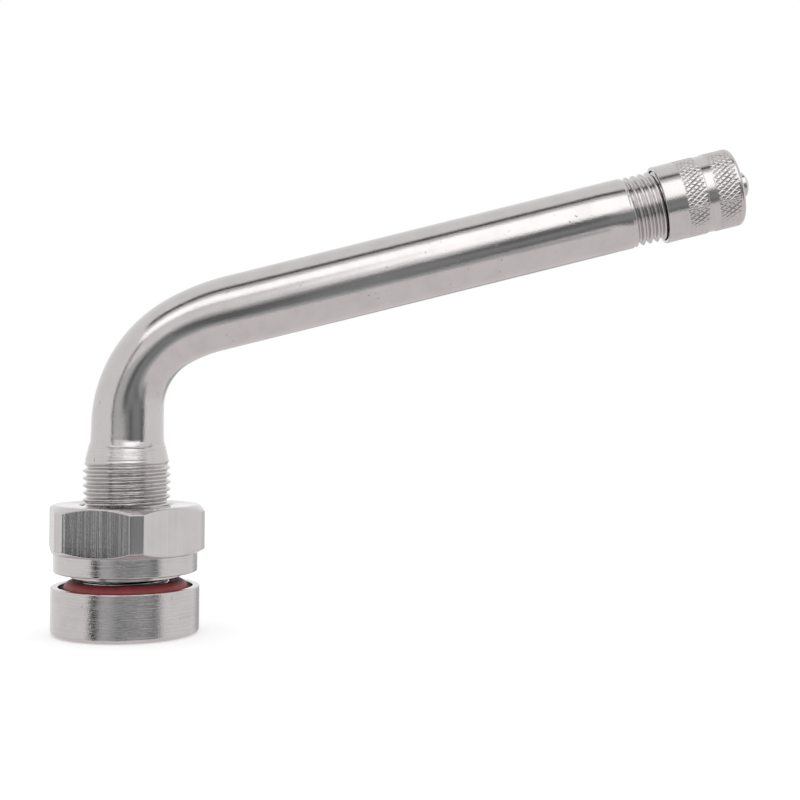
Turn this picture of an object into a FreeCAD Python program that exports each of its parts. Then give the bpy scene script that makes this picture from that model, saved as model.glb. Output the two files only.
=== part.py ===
import FreeCAD, Part
import math
import os

os.makedirs("parts", exist_ok=True)

# Bent clamp-in tyre valve. Sizes are millimetres and degrees. The origin is the centre of the
# base cup's rim plane, +Z runs up the spud, and the arm leans over towards +X.

# Base cup, below the wheel rim
cup_height = 4.95
cup_rim_wall = 0.95
cup_groove_depth = 1.1
cup_lower_edge_radius = 0.5
cup_rim_edge = 0.2

# Spud, through the wheel rim
spud_thread_diameter = 9.5
spud_thread_top = 13.3
spud_relief_depth = 0.2
spud_relief_top = 0.45
spud_thread_lead = 0.3
shoulder_diameter = 9.24
shoulder_length = 3.45

# Tube and its bend
tube_diameter = 7.85
axes_meet = 27.5
bend_angle = 75.5
bend_tight_angle = 60.0
bend_outer_tight_radius = 16.3
bend_outer_wide_radius = 25.6
bend_inner_tight_radius = 5.6
bend_inner_wide_radius = 14.0
bend_bulge = 0.28
bend_section_count = 10
airway_diameter = 3.2
airway_countersink = 0.5
airway_bend_radius = 11.6
arm_length = 66.3
mouth_thread_diameter = 7.7
mouth_thread_length = 9.95
mouth_chamfer = 0.5
mouth_chamfer_share = 0.42

# Sealing ring in the cup
ring_section = 2.0
ring_gap_to_spud = 0.15
ring_side_room = 0.55

# Nut with its collar
nut_across_flats = 15.95
nut_corner_rounding = 1.55
nut_hex_height = 5.75
nut_collar_diameter = 15.8
nut_collar_height = 1.6
nut_collar_edge = 0.2
nut_pilot_diameter = 11.5
nut_pilot_height = 0.5
nut_pilot_edge = 0.2
nut_chamfer_angle = 30.0
nut_chamfer_inset = 0.15
nut_turn = 18.6
nut_rest_gap = 0.9
nut_thread_clearance = 0.04
nut_countersink = 0.5

# Cap
cap_diameter = 8.55
cap_length = 9.0
cap_end_wall = 0.97
cap_end_rise = 0.465
cap_end_rounding = 0.37
cap_flat_radius = 1.6
cap_lip_edge = 0.12
cap_plain_length = 2.2
cap_first_knurl_length = 2.4
cap_waist_length = 1.0
cap_waist_depth = 0.06
cap_thread_clearance = 0.06
cap_running_gap = 0.05
cap_seal_thickness = 1.25
cap_seal_gap = 0.05
swivel_side_gap = 0.08
swivel_floor = 0.4
swivel_lip_wall = 0.35
swivel_lip_height = 0.9
swivel_shank_diameter = 1.7
swivel_boss_diameter = 2.7
swivel_boss_side = 0.65
swivel_dome_height = 0.53

# Core chamber, bored from the mouth; every depth is measured from the mouth face inwards
chamber_thread_diameter = 5.3
chamber_thread_depth = 7.8
seat_cone_length = 3.1
seat_small_diameter = 4.2
chamber_depth = 17.0
mouth_countersink = 0.35
mouth_countersink_share = 0.3

# Core screw
plug_top_depth = 1.3
plug_bridge_height = 2.1
plug_bridge_roof = 0.7
plug_bridge_diameter = 4.2
plug_bridge_width = 2.4
plug_window_width = 2.2
plug_thread_length = 3.6
plug_thread_clearance = 0.05
plug_edge = 0.2
plug_bore_diameter = 2.2
plug_pocket_diameter = 4.4
plug_crimp_height = 0.4
plug_pocket_height = 1.1

# Core barrel, which hangs in the pocket of the screw
barrel_running_gap = 0.1
barrel_flange_height = 0.85
barrel_neck_diameter = 3.2
barrel_neck_length = 1.0
barrel_diameter = 3.8
barrel_length = 4.55
barrel_bore_diameter = 2.6
barrel_floor = 0.7
barrel_floor_hole_diameter = 1.6
barrel_lip_chamfer = 0.35
barrel_groove_depth = 0.3
barrel_groove_top_land = 0.5
barrel_groove_length = 2.6
barrel_seal_clearance = 0.02

# Core pin and what it carries
pin_diameter = 1.1
pin_tip_depth = 0.5
pin_guide_clearance = 0.1
pin_collar_diameter = 2.3
pin_collar_height = 0.4
pin_collar_depth = 8.0
pin_tail_diameter = 1.5
pin_tail_length = 0.5
pin_edge = 0.2
spring_wire_diameter = 0.25
spring_mean_diameter = 2.0
spring_turns = 3.5
spring_end_gap = 0.02
poppet_seal_thickness = 0.9
poppet_seal_diameter = 3.0
poppet_seal_gap = 0.02
poppet_cup_wall = 0.25
poppet_cup_floor = 0.4
poppet_cup_lip_height = 0.6
poppet_cup_edge = 0.2

# Places that follow from the sizes above
tube_radius = tube_diameter / 2
half_bend = math.radians(bend_angle / 2)
spud_radius = spud_thread_diameter / 2
relief_radius = spud_radius - spud_relief_depth
ring_inner_radius = relief_radius + ring_gap_to_spud
groove_radius = ring_inner_radius + ring_section + ring_side_room
cup_radius = groove_radius + cup_rim_wall
ring_top = ring_section - cup_groove_depth
seat_radius = seat_small_diameter / 2
chamber_radius = chamber_thread_diameter / 2
mouth_radius = mouth_thread_diameter / 2
mouth_wall = mouth_radius - chamber_radius
mouth_edge = min(mouth_chamfer, mouth_chamfer_share * mouth_wall)
mouth_sink = min(mouth_countersink, mouth_countersink_share * mouth_wall)
seat_end_depth = chamber_thread_depth + seat_cone_length
cap_bore = mouth_radius + cap_thread_clearance
swivel_radius = cap_bore - swivel_side_gap
cap_seal_radius = swivel_radius - swivel_lip_wall
cap_inner_end = cap_seal_gap + cap_seal_thickness + swivel_floor + cap_running_gap
cap_outer_end = cap_inner_end + cap_end_wall
cap_lip = cap_outer_end - cap_length
plug_thread_top = plug_top_depth + plug_bridge_height
plug_bottom = plug_thread_top + plug_thread_length
pocket_bottom = plug_bottom - plug_crimp_height
barrel_flange_bottom = pocket_bottom - barrel_running_gap / 2
barrel_body_top = barrel_flange_bottom + barrel_neck_length
barrel_bottom = barrel_body_top + barrel_length
barrel_floor_top = barrel_bottom - barrel_floor
barrel_groove_top = barrel_body_top + barrel_groove_top_land
barrel_groove_radius = barrel_diameter / 2 - barrel_groove_depth
pin_radius = pin_diameter / 2
poppet_seal_top = barrel_bottom + poppet_seal_gap
poppet_floor_top = poppet_seal_top + poppet_seal_thickness
poppet_floor_bottom = poppet_floor_top + poppet_cup_floor

up = FreeCAD.Vector(0, 0, 1)
across = FreeCAD.Vector(0, 1, 0)
lean = FreeCAD.Rotation(across, bend_angle)
arm_frame = FreeCAD.Placement(FreeCAD.Vector(0, 0, axes_meet), lean)
mouth_frame = FreeCAD.Placement(
    FreeCAD.Vector(0, 0, axes_meet) + lean.multVec(up) * arm_length, lean)


def outline(corners):
    """Closed wire in the XZ plane through (radius, height, rounding) corners."""
    places = [FreeCAD.Vector(corner[0], 0, corner[1]) for corner in corners]
    stretches = []
    for index, corner in enumerate(corners):
        here = places[index]
        rounding = corner[2] if len(corner) > 2 else 0
        if rounding == 0:
            stretches.append((here, None, here))
            continue
        back = (places[index - 1] - here).normalize()
        ahead = (places[(index + 1) % len(places)] - here).normalize()
        half_angle = back.getAngle(ahead) / 2
        reach = rounding / math.tan(half_angle)
        inwards = (back + ahead).normalize()
        middle = here + inwards * (rounding / math.sin(half_angle) - rounding)
        stretches.append((here + back * reach, middle, here + ahead * reach))
    edges = []
    for index, (start, middle, end) in enumerate(stretches):
        if middle is not None:
            edges.append(Part.Arc(start, middle, end).toShape())
        following = stretches[(index + 1) % len(stretches)][0]
        if end.distanceToPoint(following) > 1e-6:
            edges.append(Part.makeLine(end, following))
    return Part.Wire(edges)


def turned(corners):
    """Solid of revolution about Z."""
    return Part.Face(outline(corners)).revolve(FreeCAD.Vector(0, 0, 0), up, 360)


def drilled(radius, low, high):
    """Plain cylinder on the Z axis between two heights."""
    return Part.makeCylinder(radius, high - low, FreeCAD.Vector(0, 0, low))


def placed(shape, frame):
    """Copy of a shape moved from its own turned axis into the valve."""
    moved = shape.copy()
    moved.Placement = frame.multiply(moved.Placement)
    return moved


def save(name, shape):
    """One STEP file for each piece."""
    shape.exportStep(os.path.join("parts", name + ".step"))
    print(name, "solids", len(shape.Solids), "volume", round(shape.Volume, 2), "valid", shape.isValid())


def oval(outer, inner, half_width):
    """Elliptical wire whose one axis runs from the outer to the inner point, the other along Y."""
    half = (outer - inner) / 2
    centre = (outer + inner) / 2
    normal = half.cross(across).normalize()
    matrix = FreeCAD.Matrix(
        half.x, 0, normal.x, centre.x,
        half.y, half_width, normal.y, centre.y,
        half.z, 0, normal.z, centre.z,
        0, 0, 0, 1)
    circle = Part.Wire(Part.Circle(FreeCAD.Vector(0, 0, 0), up, 1).toShape())
    return circle.transformGeometry(matrix)


def outwards(angle):
    """Direction from the inside of the bend to its outside after a turn in degrees."""
    return FreeCAD.Vector(-math.cos(math.radians(angle)), 0, math.sin(math.radians(angle)))


def bend_curve(side, tight, wide):
    """Points along one side of the bend, a tight arc from the leg and then a wide one to the arm."""
    arm_side = outwards(bend_angle)
    tight_end = outwards(bend_tight_angle)
    change = tight_end * (tight - wide)
    reach = FreeCAD.Vector(0, 0, axes_meet).dot(arm_side) + side
    start_x = tight - side
    start_z = (reach - wide - change.dot(arm_side) - start_x * arm_side.x) / arm_side.z
    centre = FreeCAD.Vector(start_x, 0, start_z)
    points = []
    for step in range(bend_section_count):
        angle = bend_angle * step / (bend_section_count - 1)
        if angle < bend_tight_angle:
            points.append(centre + outwards(angle) * tight)
        else:
            points.append(centre + change + outwards(angle) * wide)
    return points


def tube_sections():
    """Ovals from the start of the bend to its end, bulged most in the middle."""
    outer = bend_curve(tube_radius, bend_outer_tight_radius, bend_outer_wide_radius)
    inner = bend_curve(-tube_radius, bend_inner_tight_radius, bend_inner_wide_radius)
    sections = []
    for step in range(bend_section_count):
        swelling = math.sin(math.pi * step / (bend_section_count - 1)) ** 2
        sections.append(oval(outer[step], inner[step], tube_radius + bend_bulge * swelling))
    return sections


def tube_end(height, frame):
    """Square-cut end circle of the tube on a leg or arm axis, with the bend's seam direction."""
    seam = FreeCAD.Vector(-tube_radius, 0, height)
    opposite = FreeCAD.Vector(tube_radius, 0, height)
    return oval(frame.multVec(seam), frame.multVec(opposite), tube_radius)


def bent_tube():
    """Solid outside form of the tube from the shoulder to the mouth thread."""
    sections = tube_sections()
    leg_end = tube_end(spud_thread_top + shoulder_length, FreeCAD.Placement())
    arm_end = tube_end(arm_length - mouth_thread_length, arm_frame)
    leg = Part.makeLoft([leg_end, sections[0]], True, True)
    bend = Part.makeLoft(sections, True, False)
    arm = Part.makeLoft([sections[-1], arm_end], True, True)
    return leg.fuse([bend, arm])


def base_and_spud():
    """Cup, thread cylinder and shoulder, turned on the spud's axis."""
    thread_start = spud_relief_top + spud_relief_depth
    return turned([
        (0, -cup_height),
        (cup_radius, -cup_height, cup_lower_edge_radius),
        (cup_radius, -cup_rim_edge),
        (cup_radius - cup_rim_edge, 0),
        (groove_radius, 0),
        (groove_radius, -cup_groove_depth),
        (relief_radius, -cup_groove_depth),
        (relief_radius, spud_relief_top),
        (spud_radius, thread_start),
        (spud_radius, spud_thread_top - spud_thread_lead),
        (shoulder_diameter / 2, spud_thread_top),
        (tube_radius, spud_thread_top + shoulder_length),
        (0, spud_thread_top + shoulder_length)])


def mouth_thread():
    """Thread cylinder of the mouth, in the mouth's frame."""
    return turned([
        (0, -mouth_thread_length),
        (mouth_radius, -mouth_thread_length),
        (mouth_radius, -mouth_edge),
        (mouth_radius - mouth_edge, 0),
        (0, 0)])


def airway():
    """Air passage from the underside of the cup, round the bend, to the core chamber."""
    radius = airway_diameter / 2
    tangent = airway_bend_radius * math.tan(half_bend)
    first = FreeCAD.Vector(0, 0, -cup_height - 1)
    bend_in = FreeCAD.Vector(0, 0, axes_meet - tangent)
    bend_out = arm_frame.multVec(FreeCAD.Vector(0, 0, tangent))
    last = mouth_frame.multVec(FreeCAD.Vector(0, 0, -chamber_depth))
    to_middle = airway_bend_radius / math.cos(half_bend) - airway_bend_radius
    inwards = FreeCAD.Vector(math.cos(half_bend), 0, -math.sin(half_bend))
    middle = FreeCAD.Vector(0, 0, axes_meet) + inwards * to_middle
    path = Part.Wire([
        Part.makeLine(first, bend_in),
        Part.Arc(bend_in, middle, bend_out).toShape(),
        Part.makeLine(bend_out, last)])
    circle = Part.Wire(Part.Circle(first, up, radius).toShape())
    entry = turned([
        (0, -cup_height - 1),
        (radius + airway_countersink + 1, -cup_height - 1),
        (radius, -cup_height + airway_countersink),
        (0, -cup_height + airway_countersink)])
    return path.makePipeShell([circle], True, True).fuse(entry)


def core_chamber():
    """Threaded mouth bore, sealing cone and poppet chamber, in the mouth's frame."""
    past = 1
    return turned([
        (0, past),
        (chamber_radius + mouth_sink + past, past),
        (chamber_radius, -mouth_sink),
        (chamber_radius, -chamber_thread_depth),
        (seat_radius, -seat_end_depth),
        (seat_radius, -chamber_depth + (seat_radius - airway_diameter / 2)),
        (airway_diameter / 2, -chamber_depth),
        (0, -chamber_depth)])


def valve_stem():
    """Cup, spud, bent tube and threaded mouth in one piece, with the airway through it."""
    outside = base_and_spud().fuse([bent_tube(), placed(mouth_thread(), mouth_frame)])
    return outside.cut([airway(), placed(core_chamber(), mouth_frame)])


def rim_o_ring():
    """Sealing ring that lies in the cup's groove round the spud's relief."""
    centre = ring_inner_radius + ring_section / 2
    height = ring_top - ring_section / 2
    return Part.makeTorus(centre, ring_section / 2, FreeCAD.Vector(0, 0, height), up)


def hex_nut():
    """Hexagon with both ends bevelled, on a round collar with a short pilot that faces the wheel."""
    low = ring_top + nut_rest_gap
    hex_low = low + nut_collar_height
    high = hex_low + nut_hex_height
    corner_radius = nut_across_flats / 2 / math.cos(math.radians(30))
    corners = []
    for index in range(6):
        angle = math.radians(-90 + nut_turn + 60 * index)
        corners.append(FreeCAD.Vector(
            corner_radius * math.cos(angle), corner_radius * math.sin(angle), hex_low))
    prism = Part.Face(Part.makePolygon(corners + corners[:1])).extrude(up * nut_hex_height)
    upright = [edge for edge in prism.Edges if edge.BoundBox.ZLength > nut_hex_height / 2]
    hexagon = prism.makeFillet(nut_corner_rounding, upright)
    face_radius = nut_across_flats / 2 - nut_chamfer_inset
    bevel = (corner_radius - face_radius) * math.tan(math.radians(nut_chamfer_angle))
    bevelled = turned([
        (0, hex_low),
        (face_radius, hex_low),
        (corner_radius, hex_low + bevel),
        (corner_radius, high - bevel),
        (face_radius, high),
        (0, high)])
    pilot_radius = nut_pilot_diameter / 2
    pilot_low = low - nut_pilot_height
    collar = turned([
        (0, pilot_low),
        (pilot_radius - nut_pilot_edge, pilot_low),
        (pilot_radius, pilot_low + nut_pilot_edge),
        (pilot_radius, low),
        (nut_collar_diameter / 2 - nut_collar_edge, low),
        (nut_collar_diameter / 2, low + nut_collar_edge),
        (nut_collar_diameter / 2, hex_low),
        (0, hex_low)])
    bore_radius = spud_radius + nut_thread_clearance
    wide = bore_radius + nut_countersink
    bore = turned([
        (0, pilot_low),
        (wide, pilot_low),
        (bore_radius, pilot_low + nut_countersink),
        (bore_radius, high - nut_countersink),
        (wide, high),
        (0, high)])
    return hexagon.common(bevelled).fuse(collar).cut(bore).removeSplitter()


def cap_shell():
    """Thin cap with two knurl bands and a waist between them, in the mouth's frame."""
    radius = cap_diameter / 2
    first_knurl = cap_lip + cap_plain_length
    waist_low = first_knurl + cap_first_knurl_length
    waist_high = waist_low + cap_waist_length
    shank_hole = swivel_shank_diameter / 2 + cap_running_gap
    return turned([
        (cap_bore, cap_lip),
        (radius - cap_lip_edge, cap_lip),
        (radius, cap_lip + cap_lip_edge),
        (radius, waist_low),
        (radius - cap_waist_depth, waist_low + cap_waist_depth),
        (radius - cap_waist_depth, waist_high - cap_waist_depth),
        (radius, waist_high),
        (radius, cap_outer_end - cap_end_rise, cap_end_rounding),
        (cap_flat_radius, cap_outer_end),
        (shank_hole, cap_outer_end),
        (shank_hole, cap_inner_end),
        (cap_bore, cap_inner_end)])


def cap_swivel():
    """Cup that carries the cap's seal, with its shank peened to a dome outside the cap."""
    floor_low = cap_seal_gap + cap_seal_thickness
    floor_high = floor_low + swivel_floor
    boss_base = cap_outer_end + cap_running_gap
    boss_radius = swivel_boss_diameter / 2
    dome_base = boss_base + swivel_boss_side
    body = turned([
        (0, floor_low),
        (cap_seal_radius, floor_low),
        (cap_seal_radius, floor_low - swivel_lip_height),
        (swivel_radius, floor_low - swivel_lip_height),
        (swivel_radius, floor_high),
        (swivel_shank_diameter / 2, floor_high),
        (swivel_shank_diameter / 2, boss_base),
        (boss_radius, boss_base),
        (boss_radius, dome_base),
        (0, dome_base)])
    dome_radius = (boss_radius ** 2 + swivel_dome_height ** 2) / (2 * swivel_dome_height)
    dome_centre = FreeCAD.Vector(0, 0, dome_base + swivel_dome_height - dome_radius)
    ball = Part.makeSphere(dome_radius, dome_centre)
    dome = ball.common(drilled(boss_radius, dome_base, dome_base + swivel_dome_height))
    return body.fuse(dome).removeSplitter()


def cap_seal():
    """Rubber disc that closes the mouth."""
    return drilled(cap_seal_radius, cap_seal_gap, cap_seal_gap + cap_seal_thickness)


def core_plug():
    """Core screw: threaded skirt, crimped pocket for the barrel, and the tool bridge on top."""
    radius = chamber_radius - plug_thread_clearance
    bridge_radius = plug_bridge_diameter / 2
    skirt = turned([
        (0, -plug_bottom),
        (radius - plug_edge, -plug_bottom),
        (radius, -plug_bottom + plug_edge),
        (radius, -plug_thread_top - plug_edge),
        (radius - plug_edge, -plug_thread_top),
        (0, -plug_thread_top)])
    post = drilled(bridge_radius, -plug_thread_top, -plug_top_depth)
    slab = Part.makeBox(
        2 * plug_bridge_diameter, plug_bridge_width, plug_bridge_height,
        FreeCAD.Vector(-plug_bridge_diameter, -plug_bridge_width / 2, -plug_thread_top))
    window = Part.makeBox(
        plug_window_width, 2 * plug_bridge_width, plug_bridge_height - plug_bridge_roof,
        FreeCAD.Vector(-plug_window_width / 2, -plug_bridge_width, -plug_thread_top))
    guide = drilled(pin_radius + pin_guide_clearance, -plug_thread_top, 0)
    pocket_top = pocket_bottom - plug_pocket_height
    bore = drilled(plug_bore_diameter / 2, -pocket_bottom, -plug_thread_top)
    pocket = drilled(plug_pocket_diameter / 2, -pocket_bottom, -pocket_top)
    neck_hole = drilled(
        barrel_neck_diameter / 2 + barrel_running_gap, -plug_bottom, -pocket_bottom)
    return skirt.fuse(post.common(slab)).cut([window, guide, bore, pocket, neck_hole])


def core_barrel():
    """Sleeve with its flange in the screw's pocket, a groove for the seal and a spring floor."""
    radius = barrel_diameter / 2
    flange_radius = plug_pocket_diameter / 2 - barrel_running_gap
    bore = barrel_bore_diameter / 2
    hole = barrel_floor_hole_diameter / 2
    groove_bottom = barrel_groove_top + barrel_groove_length
    flange_top = barrel_flange_bottom - barrel_flange_height
    return turned([
        (bore, -flange_top),
        (flange_radius, -flange_top),
        (flange_radius, -barrel_flange_bottom),
        (barrel_neck_diameter / 2, -barrel_flange_bottom),
        (barrel_neck_diameter / 2, -barrel_body_top),
        (radius, -barrel_body_top),
        (radius, -barrel_groove_top),
        (barrel_groove_radius, -barrel_groove_top),
        (barrel_groove_radius, -groove_bottom),
        (radius, -groove_bottom),
        (radius, -barrel_bottom + barrel_lip_chamfer),
        (radius - barrel_lip_chamfer, -barrel_bottom),
        (hole, -barrel_bottom),
        (hole, -barrel_floor_top),
        (bore, -barrel_floor_top)])


def seat_radius_at(depth):
    """Radius of the stem's sealing cone at a depth below the mouth."""
    share = (depth - chamber_thread_depth) / seat_cone_length
    share = min(max(share, 0), 1)
    return chamber_radius + (seat_radius - chamber_radius) * share


def barrel_seal():
    """Conical collar in the barrel's groove that fits the stem's sealing cone."""
    top = barrel_groove_top
    bottom = barrel_groove_top + barrel_groove_length
    corners = [(barrel_groove_radius, -top)]
    corners.append((seat_radius_at(top) - barrel_seal_clearance, -top))
    if top < chamber_thread_depth:
        corners.append((seat_radius_at(top) - barrel_seal_clearance, -chamber_thread_depth))
    corners.append((seat_radius_at(bottom) - barrel_seal_clearance, -bottom))
    corners.append((barrel_groove_radius, -bottom))
    return turned(corners)


def core_pin():
    """Pin with a bevelled tip and a peened tail under the poppet cup."""
    return turned([
        (0, -poppet_floor_bottom - pin_tail_length),
        (pin_tail_diameter / 2 - pin_edge, -poppet_floor_bottom - pin_tail_length),
        (pin_tail_diameter / 2, -poppet_floor_bottom - pin_tail_length + pin_edge),
        (pin_tail_diameter / 2, -poppet_floor_bottom),
        (pin_radius, -poppet_floor_bottom),
        (pin_radius, -pin_tip_depth - pin_edge),
        (pin_radius - pin_edge, -pin_tip_depth),
        (0, -pin_tip_depth)])


def ring(inner, outer, top, depth):
    """Flat ring between two depths below the mouth."""
    return turned([(inner, -depth), (outer, -depth), (outer, -top), (inner, -top)])


def pin_collar():
    """Collar staked on the pin, upper seat of the spring."""
    return ring(pin_radius, pin_collar_diameter / 2, pin_collar_depth, pin_collar_depth + pin_collar_height)


def core_spring():
    """Coil spring between the pin's collar and the barrel's floor."""
    wire = spring_wire_diameter / 2
    mean = spring_mean_diameter / 2
    top = pin_collar_depth + pin_collar_height + wire + spring_end_gap
    bottom = barrel_floor_top - wire - spring_end_gap
    length = bottom - top
    path = Part.makeHelix(length / spring_turns, length, mean)
    path.translate(FreeCAD.Vector(0, 0, -bottom))
    section = Part.Wire(Part.Circle(FreeCAD.Vector(mean, 0, -bottom), across, wire).toShape())
    return Part.Wire(path).makePipeShell([section], True, True)


def poppet_cup():
    """Cup on the pin's lower end that carries the closing seal."""
    inner = poppet_seal_diameter / 2
    outer = inner + poppet_cup_wall
    return turned([
        (pin_radius, -poppet_floor_bottom),
        (outer - poppet_cup_edge, -poppet_floor_bottom),
        (outer, -poppet_floor_bottom + poppet_cup_edge),
        (outer, -poppet_floor_top + poppet_cup_lip_height),
        (inner, -poppet_floor_top + poppet_cup_lip_height),
        (inner, -poppet_floor_top),
        (pin_radius, -poppet_floor_top)])


def poppet_seal():
    """Rubber ring that closes against the barrel's end."""
    return ring(pin_radius, poppet_seal_diameter / 2, poppet_seal_top, poppet_floor_top)


save("valve_stem", valve_stem())
save("rim_o_ring", rim_o_ring())
save("hex_nut", hex_nut())

for make in (cap_shell, cap_swivel, cap_seal, core_plug, core_barrel, barrel_seal,
             core_pin, pin_collar, core_spring, poppet_cup, poppet_seal):
    save(make.__name__, placed(make(), mouth_frame))
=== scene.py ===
import math

import bmesh
import bpy
import numpy as np
from mathutils import Matrix, Vector


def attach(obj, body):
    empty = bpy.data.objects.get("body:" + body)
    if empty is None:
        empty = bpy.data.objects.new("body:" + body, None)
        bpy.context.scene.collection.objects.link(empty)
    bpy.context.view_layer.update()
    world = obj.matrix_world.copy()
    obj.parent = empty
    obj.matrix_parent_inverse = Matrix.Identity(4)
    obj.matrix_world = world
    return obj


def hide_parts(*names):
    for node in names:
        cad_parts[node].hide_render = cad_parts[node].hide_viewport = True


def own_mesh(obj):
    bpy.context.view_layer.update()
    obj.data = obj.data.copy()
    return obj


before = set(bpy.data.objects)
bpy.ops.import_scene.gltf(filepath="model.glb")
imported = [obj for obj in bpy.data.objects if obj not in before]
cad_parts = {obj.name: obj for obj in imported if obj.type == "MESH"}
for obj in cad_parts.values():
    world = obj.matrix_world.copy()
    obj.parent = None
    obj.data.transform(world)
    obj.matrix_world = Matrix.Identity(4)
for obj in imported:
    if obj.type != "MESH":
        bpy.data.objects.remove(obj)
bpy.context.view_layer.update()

# Bent tyre valve with its nut, sealing ring and cap. All sizes below are millimetres and degrees,
# in the frame's own axes: the spud stands on +Z and the arm leans over towards +X.
millimetre = 0.001
fullTurn = 2 * math.pi
meshing = {"weld": 1e-8, "sharpAngle": 50, "roundSteps": 5, "hold": 0.05}
scene = bpy.context.scene
scene.view_settings.view_transform = "Standard"


def profile(corners, hold=meshing["hold"]):
    # Open line through (radius, height, rounding) corners, rounded where asked, with a holding
    # point near both ends of every long stretch so that smooth shading stays flat between them.
    flat = []
    for index, corner in enumerate(corners):
        here = np.array(corner[:2], float)
        rounding = corner[2] if len(corner) > 2 else 0
        if rounding == 0 or index in (0, len(corners) - 1):
            flat.append(here)
            continue
        back = np.array(corners[index - 1][:2]) - here
        ahead = np.array(corners[index + 1][:2]) - here
        back = back / np.linalg.norm(back)
        ahead = ahead / np.linalg.norm(ahead)
        half = math.acos(np.clip(back @ ahead, -1, 1)) / 2
        inwards = (back + ahead) / np.linalg.norm(back + ahead)
        centre = here + inwards * rounding / math.sin(half)
        start = here + back * rounding / math.tan(half) - centre
        end = here + ahead * rounding / math.tan(half) - centre
        sweep = math.pi - 2 * half
        for step in range(meshing["roundSteps"] + 1):
            share = step / meshing["roundSteps"]
            arm = start * math.sin((1 - share) * sweep) + end * math.sin(share * sweep)
            flat.append(centre + arm / math.sin(sweep))
    held = [flat[0]]
    for here, there in zip(flat, flat[1:]):
        length = np.linalg.norm(there - here)
        if length > 4 * hold:
            inset = (there - here) * hold / length
            held += [here + inset, there - inset]
        held.append(there)
    return np.array(held)


def fade(value, start, end):
    # Smooth 0 to 1 between two values.
    share = np.clip((value - start) / (end - start), 0, 1)
    return share * share * (3 - 2 * share)


class Station:
    # A turning axis in space: angle 0 faces outward, 90 degrees faces the camera side.
    def __init__(self, place, axis, outward):
        self.place = np.array(place, float)
        self.axis = np.array(axis, float)
        self.outward = np.array(outward, float)
        self.side = np.cross(self.axis, self.outward)

    def ring(self, radius, height, angles):
        radius = np.broadcast_to(np.asarray(radius, float), angles.shape)
        height = np.broadcast_to(np.asarray(height, float), angles.shape)
        spoke = np.outer(radius * np.cos(angles), self.outward) + np.outer(radius * np.sin(angles), self.side)
        return self.place + spoke + np.outer(height, self.axis)

    def along(self, distance):
        return Station(self.place + self.axis * distance, self.axis, self.outward)


thread = {"pitch": 0.794, "crest": 0.12, "root": 0.16, "easing": 0.12, "ringsPerPitch": 16}


def threadDepth(turns):
    # Share of full depth at a place in turns: 0 on a crest, 1 in a root.
    tooth = np.abs(2 * (turns % 1) - 1)
    ramp = np.clip((tooth - thread["crest"]) / (1 - thread["crest"] - thread["root"]), 0, 1)
    return ramp - thread["easing"] * np.sin(fullTurn * ramp) / fullTurn


def turnedMarks(radius, angles, along):
    # Where points lie on the turned part, as (across, across, along), for the materials.
    along = np.broadcast_to(np.asarray(along, float), angles.shape)
    return np.stack([radius * np.cos(angles), radius * np.sin(angles), along], axis=1)


class Skin:
    # Rings of equal count that become one closed grid of quads, with a mark for each point.
    def __init__(self, angles):
        self.angles = angles
        self.rings = []
        self.marks = []

    def add(self, points, marks):
        self.rings.append(points)
        self.marks.append(marks)

    def turn(self, station, line, shift=0.0):
        # A ring for each (radius, height), whose values may differ round the ring.
        for radius, height in line:
            marks = turnedMarks(radius, self.angles, height + shift)
            self.add(station.ring(radius, height, self.angles), marks)

    def cutThread(self, station, ends, outline, envelope, crestAt, depth, shift=0.0):
        # A right-hand thread cut below the outline's radius.
        low, high = ends
        count = int(round((high - low) / thread["pitch"] * thread["ringsPerPitch"]))
        azimuth = (self.angles / fullTurn) % 1
        for height in np.linspace(low, high, count + 1):
            turns = (height - crestAt) / thread["pitch"] - azimuth + 0.5
            radius = outline(height) - depth * envelope(height) * threadDepth(turns)
            self.turn(station, [(radius, height)], shift)

    def piece(self, name, looped=False):
        ringCount, around = len(self.rings), len(self.rings[0])
        rows = np.arange(ringCount if looped else ringCount - 1)[:, None]
        columns = np.arange(around)[None, :]
        nextRow = (rows + 1) % ringCount
        nextColumn = (columns + 1) % around
        quads = np.stack([rows * around + columns, rows * around + nextColumn,
                          nextRow * around + nextColumn, nextRow * around + columns], axis=-1).reshape(-1, 4)
        mesh = bpy.data.meshes.new(name)
        points = np.array(self.rings).reshape(-1, 3) * millimetre
        mesh.from_pydata(points.tolist(), [], quads.tolist())
        mark = mesh.attributes.new("turned", "FLOAT_VECTOR", "POINT")
        mark.data.foreach_set("vector", np.array(self.marks, np.float32).ravel())
        if not looped:
            build = bmesh.new()
            build.from_mesh(mesh)
            bmesh.ops.remove_doubles(build, verts=build.verts, dist=meshing["weld"])
            bmesh.ops.holes_fill(build, edges=[edge for edge in build.edges if edge.is_boundary], sides=0)
            build.to_mesh(mesh)
            build.free()
        mesh.shade_smooth()
        mesh.set_sharp_from_angle(angle=math.radians(meshing["sharpAngle"]))
        made = bpy.data.objects.new(name, mesh)
        scene.collection.objects.link(made)
        return made


def showAs(piece, body, material, node):
    piece.data.materials.append(material)
    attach(piece, body)
    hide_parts(node)
    print("piece", piece.name, "faces", len(piece.data.polygons))


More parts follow.
